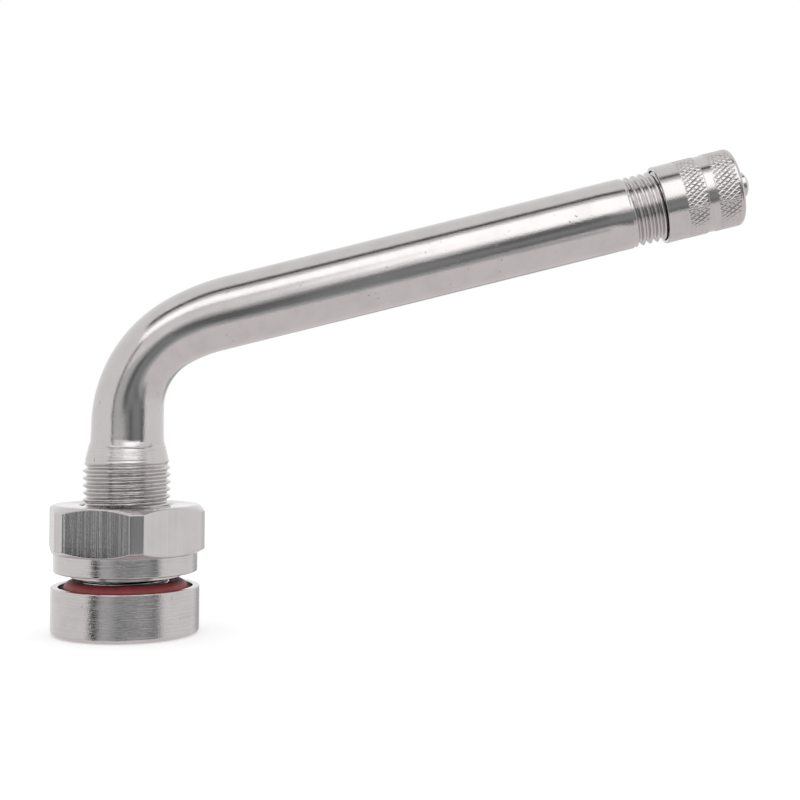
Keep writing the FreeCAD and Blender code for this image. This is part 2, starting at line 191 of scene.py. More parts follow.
class Wire:
    # One output socket in a node tree. Operators on it add Math nodes.
    def __init__(self, tree, socket=None):
        self.tree = tree
        self.socket = socket

    def node(self, kind, settings=None, inputs=None, out=0):
        added = self.tree.nodes.new(kind)
        for key, value in (settings or {}).items():
            setattr(added, key, value)
        for key, value in (inputs or {}).items():
            if isinstance(value, Wire):
                self.tree.links.new(value.socket, added.inputs[key])
            else:
                added.inputs[key].default_value = value
        return Wire(self.tree, added.outputs[out] if added.outputs else None)

    def calc(self, operation, first, second):
        return self.node("ShaderNodeMath", {"operation": operation}, {0: first, 1: second})

    def __add__(self, other):
        return self.calc("ADD", self, other)

    def __radd__(self, other):
        return self.calc("ADD", other, self)

    def __sub__(self, other):
        return self.calc("SUBTRACT", self, other)

    def __rsub__(self, other):
        return self.calc("SUBTRACT", other, self)

    def __mul__(self, other):
        return self.calc("MULTIPLY", self, other)

    def __rmul__(self, other):
        return self.calc("MULTIPLY", other, self)

    def between(self, low, high, start=0.0, end=1.0):
        # The value carried smoothly from one range to another, held at the ends.
        return self.node("ShaderNodeMapRange", {"interpolation_type": "SMOOTHSTEP"},
                         {"Value": self, "From Min": low, "From Max": high, "To Min": start, "To Max": end})


def newFinish(name):
    material = bpy.data.materials.new(name)
    material.use_nodes = True
    material.node_tree.nodes.clear()
    return material, Wire(material.node_tree)


def finishWith(material, tree, shader):
    tree.node("ShaderNodeOutputMaterial", {}, {"Surface": shader})
    return material


def mixColour(factor, first, second):
    return factor.node("ShaderNodeMix", {"data_type": "RGBA"}, {0: factor, 6: first, 7: second}, out=2)


def stretched(tree, place, scale):
    return tree.node("ShaderNodeVectorMath", {"operation": "MULTIPLY"}, {0: place, 1: scale})


def noise(tree, place, scale, detail=2.0, roughness=0.5):
    return tree.node("ShaderNodeTexNoise", {}, {
        "Vector": place, "Scale": scale, "Detail": detail, "Roughness": roughness})


def bumpFrom(tree, height):
    # height is in millimetres.
    return tree.node("ShaderNodeBump", {}, {"Height": height, "Strength": 1.0, "Distance": millimetre})


def turnedPlace(tree):
    return tree.node("ShaderNodeAttribute", {"attribute_name": "turned"}, out="Vector")


nickelLook = {
    "colour": (0.55, 0.525, 0.525, 1), "dullColour": (0.515, 0.492, 0.492, 1),
    "speckColour": (0.2, 0.19, 0.185, 1), "roughness": 0.05, "dullRoughness": 0.04,
    "cloudScale": 0.35, "grainScale": 9, "grainDepth": 0.0012,
    "rippleScale": 7, "speckScale": 1.9, "speckShare": (0.65, 0.7), "flattened": (1, 1, 0.5),
    "lineSqueeze": (0.035, 0.035, 1), "barSqueeze": (1, 1, 0.004), "cutWear": 0.6, "zoneSoft": 0.05,
    "cloudShare": (0.35, 0.75), "grainShare": (0.3, 0.7), "cutShare": (0.4, 0.6),
}


def within(along, low, high):
    soft = nickelLook["zoneSoft"]
    return along.between(low - soft, low + soft) * along.between(high - soft, high + soft, 1.0, 0.0)


def nickel(name, lines=(), bars=(), roughness=nickelLook["roughness"], rippleDepth=0.003, speckDepth=0.0):
    # Plated metal, with turning lines round the part or marks along it in some stretches, each
    # given as (from, to, scale, depth). Depths are in millimetres.
    n = nickelLook
    material, tree = newFinish(name)
    place = turnedPlace(tree)
    along = tree.node("ShaderNodeSeparateXYZ", {}, {0: place}, out=2)
    cloud = noise(tree, place, n["cloudScale"], detail=3)
    grain = noise(tree, place, n["grainScale"], roughness=0.6)
    ripple = noise(tree, stretched(tree, place, n["flattened"]), n["rippleScale"], detail=3, roughness=0.65)
    height = grain.between(*n["grainShare"]) * n["grainDepth"] + ripple * rippleDepth
    worn = cloud.between(*n["cloudShare"])
    if speckDepth:
        flattened = stretched(tree, place, n["flattened"])
        specks = noise(tree, flattened, n["speckScale"], detail=5, roughness=0.75).between(*n["speckShare"])
        height = height - specks * speckDepth
    for stretches, squeeze in ((lines, n["lineSqueeze"]), (bars, n["barSqueeze"])):
        for low, high, scale, depth in stretches:
            zone = within(along, low, high)
            cuts = noise(tree, stretched(tree, place, squeeze), scale, detail=3, roughness=0.6)
            height = height + cuts * zone * depth
            worn = worn + (cuts.between(*n["cutShare"]) - 0.5) * zone * n["cutWear"]
    colour = mixColour(worn, n["colour"], n["dullColour"])
    if speckDepth:
        colour = mixColour(specks, colour, n["speckColour"])
    shader = tree.node("ShaderNodeBsdfPrincipled", {}, {
        "Base Color": colour, "Metallic": 1.0, "Roughness": roughness + worn * n["dullRoughness"],
        "Normal": bumpFrom(tree, height)})
    return finishWith(material, tree, shader)


stemNickel = nickel("stemNickel", lines=[(-6, 0.3, 6, 0.034), (0.5, 13.2, 5, 0.06), (13.0, 15.5, 7, 0.03)],
                    rippleDepth=0.009, speckDepth=0.015)
nutNickel = nickel("nutNickel", lines=[(0, 3.8, 6, 0.034)],
                   bars=[(3.9, 9.1, 1.6, 0.03), (3.9, 9.1, 5, 0.013)])
turnedNickel = nickel("turnedNickel", lines=[(-9, 9, 8, 0.006)], roughness=0.12, rippleDepth=0.006)

stem = {
    # Cup with its groove, and the relief below the spud's thread
    "cupRadius": 8.02, "cupRim": 0.26, "cupBottom": -4.95, "cupEdge": 0.5, "rimOuterEdge": 0.16,
    "rimInnerEdge": 0.1, "grooveRadius": 7.25, "grooveBottom": -1.1, "grooveEdge": 0.15,
    "relief": 4.55, "reliefTop": 0.45, "reliefRise": 0.2, "smallEdge": 0.05,
    # Spud: its thread, and the shoulder's radius at some heights
    "threadRadius": 4.75, "threadDepth": 0.4, "threadRows": (0.7, 14.3), "crestAt": 12.78,
    "threadRise": (0.65, 1.2), "threadFall": (12.95, 14.2),
    "shoulderHeights": [0, 12.9, 13.4, 13.9, 15.2, 15.5, 15.8, 16.1, 16.4, 16.9, 17.6, 18.6],
    "shoulderRadii": [4.75, 4.75, 4.62, 4.53, 4.235, 4.15, 4.06, 3.985, 3.972, 3.957, 3.942, 3.93],
    "shoulderRows": (14.36, 16.75, 60), "easing": (0.2, 13),
    "ridgeAt": 15.45, "ridgeHeight": 0.03, "ridgeWidth": 0.07,
    # Bend: a tight arc and a wide one on each side, and how far the tube bulges sideways
    "tubeRadius": 3.925, "bendAngle": 75.5, "tightAngle": 60, "axesMeet": 27.5, "outerArcs": (16.3, 25.6),
    "innerArcs": (5.6, 14.0), "bulge": 0.28, "bendRings": 72, "blendRings": 12, "blendMarks": 2,
    "around": 144,
    # Arm and its mouth
    "armLength": 66.3, "armRings": 16, "armMarks": 50.0, "armGap": 0.1,
    "stepIn": 0.02, "stepBelow": 0.03, "stepAbove": 0.06,
    "mouthThread": 3.85, "mouthThreadLength": 9.95, "mouthDepth": 0.38, "mouthCrestAt": -9.2,
    "mouthRows": (-9.8, -0.04), "mouthRise": (-9.9, -9.3), "mouthFall": (-0.9, -0.45), "mouthEdge": 0.5,
    # Core chamber and airway
    "chamber": 2.65, "chamberDepth": 7.8, "chamberBevel": 0.35, "seat": 2.1, "seatTop": -10.9,
    "seatBottom": -16.5, "airwayTop": -17.0, "airway": 1.6, "airwayBevel": 0.5, "airwayArc": 11.6,
    "airwayRings": 24, "airwayMarks": 15,
}
bendTurn = math.radians(stem["bendAngle"])
leg = Station((0, 0, 0), (0, 0, 1), (-1, 0, 0))
armBase = Station((0, 0, stem["axesMeet"]), (math.sin(bendTurn), 0, math.cos(bendTurn)),
                  (-math.cos(bendTurn), 0, math.sin(bendTurn)))
mouth = armBase.along(stem["armLength"])


def outwards(turn):
    return np.array([-math.cos(turn), 0, math.sin(turn)])


def bendSide(side, radii, turns):
    # One side of the bend: a tight arc from the leg, then a wide one to the arm.
    tight, wide = radii
    tightTurn = math.radians(stem["tightAngle"])
    change = outwards(tightTurn) * (tight - wide)
    facing = outwards(bendTurn)
    startX = tight - side
    lean = side - wide - change @ facing - startX * facing[0]
    startZ = (stem["axesMeet"] * facing[2] + lean) / facing[2]
    centre = np.array([startX, 0, startZ])
    return [centre + outwards(turn) * tight if turn < tightTurn else centre + change + outwards(turn) * wide
            for turn in turns]


def spudOutline(height):
    return float(np.interp(height, stem["shoulderHeights"], stem["shoulderRadii"]))


def easedOutline(height):
    reach, samples = stem["easing"]
    shifts = np.linspace(-reach, reach, samples)
    return np.mean([spudOutline(height + shift) for shift in shifts])


def spudEnvelope(height):
    return fade(height, *stem["threadRise"]) * (1 - fade(height, *stem["threadFall"]))


def mouthOutline(height):
    return stem["mouthThread"] - max(0.0, height + stem["mouthEdge"])


def mouthEnvelope(height):
    return fade(height, *stem["mouthRise"]) * (1 - fade(height, *stem["mouthFall"]))


def addCup(body):
    # Underside, cup wall, rim, groove and relief
    s = stem
    body.turn(leg, profile([
        (s["airway"], s["cupBottom"] + s["airwayBevel"]),
        (s["airway"] + s["airwayBevel"], s["cupBottom"], s["smallEdge"]),
        (s["cupRadius"], s["cupBottom"], s["cupEdge"]), (s["cupRadius"], s["cupRim"], s["rimOuterEdge"]),
        (s["grooveRadius"], s["cupRim"], s["rimInnerEdge"]),
        (s["grooveRadius"], s["grooveBottom"], s["grooveEdge"]),
        (s["relief"], s["grooveBottom"], s["grooveEdge"]), (s["relief"], s["reliefTop"], s["smallEdge"]),
        (s["threadRadius"], s["reliefTop"] + s["reliefRise"])]))


def addSpud(body):
    # Thread and shoulder, which eases into the tube with a small turned ridge
    s = stem
    body.cutThread(leg, s["threadRows"], spudOutline, spudEnvelope, s["crestAt"], s["threadDepth"])
    shoulder = []
    for height in np.linspace(*s["shoulderRows"]):
        ridge = s["ridgeHeight"] * math.exp(-((height - s["ridgeAt"]) / s["ridgeWidth"]) ** 2)
        shoulder.append((easedOutline(height) + ridge, height))
    body.turn(leg, shoulder)


def addBend(body):
    # Ovals between its outer and its inner side, after a blend from the leg's round rings
    s = stem
    angles = body.angles
    across = np.array([0, -1, 0])
    turns = np.linspace(0, bendTurn, s["bendRings"] + 1)
    outerSide = np.array(bendSide(s["tubeRadius"], s["outerArcs"], turns))
    innerSide = np.array(bendSide(-s["tubeRadius"], s["innerArcs"], turns))
    centres, halves = (outerSide + innerSide) / 2, (outerSide - innerSide) / 2
    steps = np.linalg.norm(np.diff(centres, axis=0), axis=1)
    alongs = s["shoulderRows"][1] + s["blendMarks"] + np.concatenate([[0], np.cumsum(steps)])
    ovals, ovalMarks = [], []
    for turn, centre, half, along in zip(turns, centres, halves, alongs):
        width = s["tubeRadius"] + s["bulge"] * math.sin(math.pi * turn / bendTurn) ** 2
        ovals.append(centre + np.outer(np.cos(angles), half) + np.outer(np.sin(angles) * width, across))
        ovalMarks.append(turnedMarks(s["tubeRadius"], angles, along))
    legEnd, legMarks = body.rings[-1], body.marks[-1]
    for share in np.linspace(0, 1, s["blendRings"] + 2)[1:-1]:
        heights = legEnd[:, 2] + (ovals[0][:, 2] - legEnd[:, 2]) * share
        radii = np.array([easedOutline(height) for height in heights])
        eased = s["tubeRadius"] + (radii - s["tubeRadius"]) * (1 - share)
        body.add(leg.ring(eased, heights, angles), legMarks + (ovalMarks[0] - legMarks) * share)
    for oval, marks in zip(ovals, ovalMarks):
        body.add(oval, marks)


def addArm(body):
    # Arm, its thread, the end face and the core's chamber
    s = stem
    bendEnd, endMarks = body.rings[-1], body.marks[-1]
    armStop = s["armLength"] - s["mouthThreadLength"] - s["armGap"]
    armEnd = armBase.ring(s["tubeRadius"], armStop, body.angles)
    for share in np.linspace(0, 1, s["armRings"] + 1)[1:]:
        body.add(bendEnd + (armEnd - bendEnd) * share, endMarks + np.array([0, 0, share * s["armMarks"]]))
    shift = endMarks[0][2] + s["armMarks"] + s["mouthThreadLength"]
    body.turn(mouth, [(s["tubeRadius"] - s["stepIn"], -s["mouthThreadLength"] - s["stepBelow"]),
                      (s["mouthThread"], -s["mouthThreadLength"] + s["stepAbove"])], shift)
    body.cutThread(mouth, s["mouthRows"], mouthOutline, mouthEnvelope, s["mouthCrestAt"], s["mouthDepth"],
                   shift)
    body.turn(mouth, profile([
        (s["mouthThread"] - s["mouthEdge"], 0), (s["chamber"] + s["chamberBevel"], 0),
        (s["chamber"], -s["chamberBevel"]), (s["chamber"], -s["chamberDepth"]),
        (s["seat"], s["seatTop"]), (s["seat"], s["seatBottom"]), (s["airway"], s["airwayTop"])]), shift)


def addAirway(body):
    # The way back through the bend
    radius = stem["airwayArc"]
    centre = np.array([radius, 0, stem["axesMeet"] - radius * math.tan(bendTurn / 2)])
    across = np.array([0, -1, 0])
    for share in np.linspace(1, 0, stem["airwayRings"] + 1):
        facing = outwards(bendTurn * share)
        body.add(centre + facing * radius + np.outer(np.cos(body.angles), facing) * stem["airway"]
                 + np.outer(np.sin(body.angles), across) * stem["airway"],
                 turnedMarks(1.0, body.angles, share * stem["airwayMarks"]))


def makeStem():
    body = Skin(np.linspace(0, fullTurn, stem["around"], endpoint=False))
    addCup(body)
    addSpud(body)
    addBend(body)
    addArm(body)
    addAirway(body)
    return body.piece("stemBody", looped=True)


showAs(makeStem(), "stem", stemNickel, "valve_stem")

sealRing = {"centre": 5.7, "section": 1.0, "height": -0.1, "around": 160, "sectionSteps": 40}


def makeRimRing():
    r = sealRing
    body = Skin(np.linspace(0, fullTurn, r["around"], endpoint=False))
    body.turn(leg, [(r["centre"] + r["section"] * math.cos(turn), r["height"] + r["section"] * math.sin(turn))
                    for turn in np.linspace(0, fullTurn, r["sectionSteps"], endpoint=False)])
    return body.piece("rimRing", looped=True)


rubberLook = {
    "colour": (0.33, 0.045, 0.04, 1), "darkColour": (0.24, 0.036, 0.034, 1), "roughness": 0.45,
    "cloudScale": 0.8, "cloudShare": (0.3, 0.7), "grainScale": 14, "grainDepth": 0.012, "grainRoughness": 0.1,
}


def makeRubber():
    r = rubberLook
    material, tree = newFinish("redRubber")
    place = turnedPlace(tree)
    cloud = noise(tree, place, r["cloudScale"], detail=4, roughness=0.6)
    grain = noise(tree, place, r["grainScale"], detail=3, roughness=0.6)
    shader = tree.node("ShaderNodeBsdfPrincipled", {}, {
        "Base Color": mixColour(cloud.between(*r["cloudShare"]), r["colour"], r["darkColour"]),
        "Roughness": r["roughness"] + grain * r["grainRoughness"],
        "Normal": bumpFrom(tree, grain * r["grainDepth"])})
    return finishWith(material, tree, shader)


showAs(makeRimRing(), "stem", makeRubber(), "rim_o_ring")

nut = {
    "low": 1.8, "hexLow": 3.84, "high": 9.15, "collarRadius": 7.76, "collarEdge": 0.2,
    "pilotRadius": 6.0, "pilotLow": 1.28, "pilotEdge": 0.08, "smallEdge": 0.05,
    "acrossFlats": 15.95, "cornerReach": 8.83, "cornerEdge": 0.12, "frontCorner": 18.6,
    "flatSteps": 12, "cornerSteps": 5, "faceRadius": 7.8, "seam": 0.02,
    "bevelSlope": math.tan(math.radians(30)), "bevelStart": 0.05, "creaseSoft": 0.06, "creaseTight": 0.012,
    "faceInset": 0.06, "bore": 4.79, "boreBevel": 0.45, "boreLand": 0.05, "boreDrop": 0.03,
    "grooveDepth": 0.4, "grooveInset": 0.05, "ringsPerPitch": 14,
}


def hexCorners():
    # Angle and radius of each point round the hexagon, whose corners are narrow flats.
    n = nut
    reach, edge = n["cornerReach"], n["cornerEdge"]
    pointedReach = n["acrossFlats"] / 2 / math.cos(math.radians(30))
    halfCorner = (pointedReach - reach) * math.tan(math.radians(60))
    outline = []
    for side in range(6):
        corner = math.radians(-90 + n["frontCorner"] + 60 * side)
        normal = np.array([math.cos(corner), math.sin(corner)])
        tangent = np.array([-normal[1], normal[0]])
        outline += [normal * reach - tangent * halfCorner, normal * reach + tangent * halfCorner]
    points = []
    for index, here in enumerate(outline):
        back = outline[index - 1] - here
        ahead = outline[(index + 1) % len(outline)] - here
        length = np.linalg.norm(ahead)
        back, ahead = back / np.linalg.norm(back), ahead / length
        for share in np.linspace(0, 1, n["cornerSteps"] + 1):
            points.append(here + edge * (back * (1 - share) ** 2 + ahead * share ** 2))
        for share in np.linspace(0, 1, n["flatSteps"] + 1)[1:-1]:
            points.append(here + ahead * (edge + (length - 2 * edge) * share))
    points = np.array(points)
    return np.arctan2(points[:, 1], points[:, 0]), np.hypot(points[:, 0], points[:, 1])


def hexPart(hexRadius, edge, sign, faceRadius):
    # Chamfer from one face of the hexagon at height edge, its soft crease and the flats' start
    n = nut
    slope, soft, tight = n["bevelSlope"], n["creaseSoft"], n["creaseTight"]
    reach = (hexRadius - faceRadius) * slope
    inner = np.full_like(hexRadius, faceRadius)
    return [
        (inner, np.full_like(hexRadius, edge)),
        (inner + n["bevelStart"], np.full_like(hexRadius, edge + sign * n["bevelStart"] * slope)),
        (np.maximum(hexRadius - soft, inner + soft),
         edge + sign * np.maximum(reach - soft * slope, soft * slope)),
        (hexRadius - tight, edge + sign * (reach + tight)),
        (hexRadius, edge + sign * (reach + soft)),
        (hexRadius, edge + sign * (reach + 2 * soft)),
    ]


def makeNut():
    n = nut
    turns, hexRadius = hexCorners()
    angles = (turns + math.pi) % fullTurn   # the station's angle 0 faces -X
    order = np.argsort(angles)
    angles, hexRadius = angles[order], hexRadius[order]
    body = Skin(angles)
    body.turn(leg, profile([
        (n["bore"] + n["boreBevel"], n["pilotLow"]), (n["pilotRadius"], n["pilotLow"], n["pilotEdge"]),
        (n["pilotRadius"], n["low"], n["smallEdge"]), (n["collarRadius"], n["low"], n["collarEdge"]),
        (n["collarRadius"], n["hexLow"] - n["seam"])]))
    body.turn(leg, hexPart(hexRadius, n["hexLow"], 1, n["collarRadius"] + n["seam"]))
    body.turn(leg, hexPart(hexRadius, n["high"], -1, n["faceRadius"])[::-1])
    opening = n["bore"] + n["boreBevel"]
    body.turn(leg, [(n["faceRadius"] - n["faceInset"], n["high"]), (opening + n["boreLand"], n["high"]),
                    (opening, n["high"] - n["boreDrop"])])
    count = int((n["high"] - n["pilotLow"]) / thread["pitch"] * n["ringsPerPitch"])
    azimuth = (angles / fullTurn) % 1
    for height in np.linspace(n["high"] - n["grooveInset"], n["pilotLow"] + n["grooveInset"], count):
        turn = (height - stem["crestAt"]) / thread["pitch"] - azimuth + 0.5
        sink = max(0.0, n["boreBevel"] - (n["high"] - height), n["boreBevel"] - (height - n["pilotLow"]))
        body.turn(leg, [(n["bore"] + np.maximum(n["grooveDepth"] * (1 - threadDepth(turn)), sink), height)])
    return body.piece("hexNut", looped=True)


showAs(makeNut(), "nut", nutNickel, "hex_nut")

cap = {
    "radius": 4.265, "bore": 3.91, "lip": -6.28, "lipEdge": 0.1, "smallEdge": 0.05,
    "innerEnd": 1.75, "outerEnd": 2.72, "endRise": 0.465, "endEdge": 0.37, "flatRadius": 1.6,
    "flatEdge": 1.5, "shankHole": 0.9, "innerEdge": 0.1, "boreStart": 0.3, "boreStop": 0.35,
    "knurlGap": 0.05, "endGap": 0.34,
    # Heights above the lip
    "firstKnurl": (2.27, 4.55), "waist": (4.6, 5.6), "secondKnurl": (5.65, 8.12),
    "waistDepth": 0.06, "waistRamp": 0.06, "waistHold": 0.03,
    "starts": 47, "lead": 0.65, "knurls": [(1, 0.1, 0.4), (-1, 0.06, 0.25)],   # hand, depth, share of pitch
    "pointsPerStart": 13, "ringStep": 0.062, "knurlRunOut": 0.15,
}


def knurlDepth(angles, height):
    # Two crossing sets of V grooves, wrapped round the cap
    pitch = fullTurn * cap["radius"] / cap["starts"]
    sunk = np.zeros_like(angles)
    for hand, depth, width in cap["knurls"]:
        turns = angles / fullTurn * cap["starts"] + hand * height / pitch * cap["lead"]
        groove = np.abs(2 * (turns % 1) - 1)
        sunk = np.maximum(sunk, np.clip(1 - groove / width, 0, 1) * depth)
    return sunk


def addKnurl(body, low, high):
    runOut = cap["knurlRunOut"]
    for height in np.linspace(low, high, int((high - low) / cap["ringStep"])):
        ends = fade(height, low, low + runOut) * (1 - fade(height, high - runOut, high))
        body.turn(mouth, [(cap["radius"] - knurlDepth(body.angles, height) * ends, cap["lip"] + height)])


def makeCap():
    c = cap
    body = Skin(np.linspace(0, fullTurn, c["starts"] * c["pointsPerStart"], endpoint=False))
    body.turn(mouth, profile([
        (c["bore"], c["lip"] + c["boreStart"]), (c["bore"], c["lip"], c["smallEdge"]),
        (c["radius"], c["lip"], c["lipEdge"]),
        (c["radius"], c["lip"] + c["firstKnurl"][0] - c["knurlGap"])]))
    addKnurl(body, *c["firstKnurl"])
    low, high = c["waist"]
    sunk = c["radius"] - c["waistDepth"]
    waist = profile([(c["radius"], low), (sunk, low + c["waistRamp"]), (sunk, high - c["waistRamp"]),
                     (c["radius"], high)], hold=c["waistHold"])
    body.turn(mouth, [(radius, c["lip"] + height) for radius, height in waist])
    addKnurl(body, *c["secondKnurl"])
    endStart = c["outerEnd"] - c["endRise"]
    body.turn(mouth, profile([
        (c["radius"], endStart - c["endGap"]), (c["radius"], endStart, c["endEdge"]),
        (c["flatRadius"], c["outerEnd"], c["flatEdge"]), (c["shankHole"], c["outerEnd"]),
        (c["shankHole"], c["innerEnd"]), (c["bore"], c["innerEnd"], c["innerEdge"]),
        (c["bore"], c["lip"] + c["boreStop"])]))
    return body.piece("capShell", looped=True)


showAs(makeCap(), "cap", turnedNickel, "cap_shell")

# The swivel that holds the cap's rubber disc: its flange inside, its shank and its peened dome
boss = {
    "flangeLow": 0.4, "floorLow": 1.3, "floorHigh": 1.7, "lipInner": 3.48, "lipOuter": 3.83,
    "shank": 0.85, "base": 2.77, "baseEdge": 0.05, "domeBase": 3.42, "domeHeight": 0.53, "domeRadius": 1.35,
    "domeGap": 0.02, "domeShares": (1, 0.001, 18), "around": 96, "tip": 0.0001,
}


def makeBoss():
    b = boss
    ball = (b["domeRadius"] ** 2 + b["domeHeight"] ** 2) / (2 * b["domeHeight"])
    reach = math.asin(b["domeRadius"] / ball)
    ballCentre = b["domeBase"] + b["domeHeight"] - ball
    body = Skin(np.linspace(0, fullTurn, b["around"], endpoint=False))
    body.turn(mouth, profile([
        (b["tip"], b["floorLow"]), (b["lipInner"], b["floorLow"]), (b["lipInner"], b["flangeLow"]),
        (b["lipOuter"], b["flangeLow"]), (b["lipOuter"], b["floorHigh"]), (b["shank"], b["floorHigh"]),
        (b["shank"], b["base"]), (b["domeRadius"], b["base"], b["baseEdge"]),
        (b["domeRadius"], b["domeBase"] - b["domeGap"])]))
    body.turn(mouth, [(ball * math.sin(reach * share), ballCentre + ball * math.cos(reach * share))
                      for share in np.linspace(*b["domeShares"])])
    return body.piece("capBoss")


showAs(makeBoss(), "cap_insert", turnedNickel, "cap_swivel")

# The pieces inside the cap and the stem. All but the spring keep their CAD shapes.
innerLook = {
    "brass": {"colour": (0.72, 0.50, 0.22, 1), "darkColour": (0.56, 0.37, 0.15, 1), "metal": 1.0,
              "roughness": 0.22, "lineScale": (0.3, 0.3, 6), "lineDepth": 0.006},
    "springWire": {"colour": (0.56, 0.56, 0.57, 1), "darkColour": (0.42, 0.42, 0.44, 1), "metal": 1.0,
                   "roughness": 0.28, "lineScale": (3, 3, 3), "lineDepth": 0.004},
    "blackRubber": {"colour": (0.028, 0.028, 0.03, 1), "darkColour": (0.016, 0.016, 0.018, 1), "metal": 0.0,
                    "roughness": 0.55, "lineScale": (9, 9, 9), "lineDepth": 0.012},
    "sealPlastic": {"colour": (0.62, 0.06, 0.05, 1), "darkColour": (0.5, 0.045, 0.04, 1), "metal": 0.0,
                    "roughness": 0.4, "lineScale": (5, 5, 5), "lineDepth": 0.006},
}
innerPieces = {
    "core_plug": ("brass", "brass"), "core_barrel": ("brass", "brass"), "core_pin": ("brass", "brass"),
    "pin_collar": ("brass", "brass"), "poppet_cup": ("brass", "brass"),
    "barrel_seal": ("sealPlastic", "seal_plastic"),
    "poppet_seal": ("blackRubber", "black_rubber"), "cap_seal": ("blackRubber", "black_rubber"),
}
innerShade = {"cloudScale": 0.9, "cloudShare": (0.3, 0.7), "cloudWeight": 0.6, "lineWeight": 0.4,
              "roughening": 0.1}
perMetre = 1 / millimetre


def innerFinish(name):
    look = innerLook[name]
    material, tree = newFinish(name)
    place = stretched(tree, tree.node("ShaderNodeTexCoord", {}, {}, out="Object"), (perMetre,) * 3)
    cloud = noise(tree, place, innerShade["cloudScale"], detail=3).between(*innerShade["cloudShare"])
    lines = noise(tree, stretched(tree, place, look["lineScale"]), 1.0, detail=3, roughness=0.6)
    dark = cloud * innerShade["cloudWeight"] + lines * innerShade["lineWeight"]
    shader = tree.node("ShaderNodeBsdfPrincipled", {}, {
        "Base Color": mixColour(dark, look["colour"], look["darkColour"]),
        "Metallic": look["metal"], "Roughness": look["roughness"] + cloud * innerShade["roughening"],
        "Normal": bumpFrom(tree, lines * look["lineDepth"])})
    return finishWith(material, tree, shader)


innerFinishes = {name: innerFinish(name) for name in innerLook}
for nodeName, (finishName, slotName) in innerPieces.items():
    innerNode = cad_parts[nodeName]
    innerNode.data.materials.clear()
    innerNode.data.materials.append(innerFinishes[finishName])
print("inner pieces finished")

# The core's spring is a piece of its own, with its own mesh
spring = {
    "wire": 0.125, "mean": 1.0, "turns": 3.5, "stepsPerTurn": 48, "around": 14, "tip": 0.0001,
    "stroke": 1.2,   # of the pin
}


def makeSpring():
    s = spring
    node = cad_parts["core_spring"]
    corners = np.array([node.matrix_world @ vertex.co for vertex in node.data.vertices]) / millimetre
    heights = (corners - mouth.place) @ mouth.axis
    low, high = float(heights.min()), float(heights.max())
    length = high - low
    across = np.linspace(0, fullTurn, s["around"], endpoint=False)
    body = Skin(across)
    steps = int(s["turns"] * s["stepsPerTurn"])
    for step in range(-1, steps + 2):
        share = min(max(step / steps, 0), 1)
        wire = s["wire"] if 0 <= step <= steps else s["tip"]
        turn = np.full(across.shape, share * s["turns"] * fullTurn)
        radius = s["mean"] + wire * np.cos(across)
        height = low + s["wire"] + share * (length - 2 * s["wire"]) + wire * np.sin(across)
        body.add(mouth.ring(radius, height, turn), turnedMarks(radius, turn, height))
    piece = body.piece("coreSpring")
    showAs(piece, "stem", innerFinishes["springWire"], "core_spring")
    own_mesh(piece)


makeSpring()


def addSheet(name, places, faces, material):
    mesh = bpy.data.meshes.new(name)
    mesh.from_pydata([[value * millimetre for value in place] for place in places], [], faces)
    mesh.materials.append(material)
    sheet = bpy.data.objects.new(name, mesh)
    scene.collection.objects.link(sheet)
    return sheet


floorLook = {
    "across": (-150, 230), "deep": (-62, 260), "level": stem["cupBottom"],
    "colour": (0.80, 0.795, 0.795, 1), "whitening": 0.35,
}


def makeFloor():
    material, tree = newFinish("paleFloor")
    sees = tree.node("ShaderNodeLightPath", {}, {}, out="Is Camera Ray")
    plain = tree.node("ShaderNodeBsdfDiffuse", {}, {"Color": floorLook["colour"]})
    white = tree.node("ShaderNodeEmission", {}, {
        "Color": (1, 1, 1, 1), "Strength": sees * floorLook["whitening"]})
    finishWith(material, tree, tree.node("ShaderNodeAddShader", {}, {0: plain, 1: white}))
    left, right = floorLook["across"]
    front, back = floorLook["deep"]
    z = floorLook["level"]
    floor = addSheet("floor", [(left, front, z), (right, front, z), (right, back, z), (left, back, z)],
                     [(0, 1, 2, 3)], material)
    floor.visible_glossy = False


makeFloor()

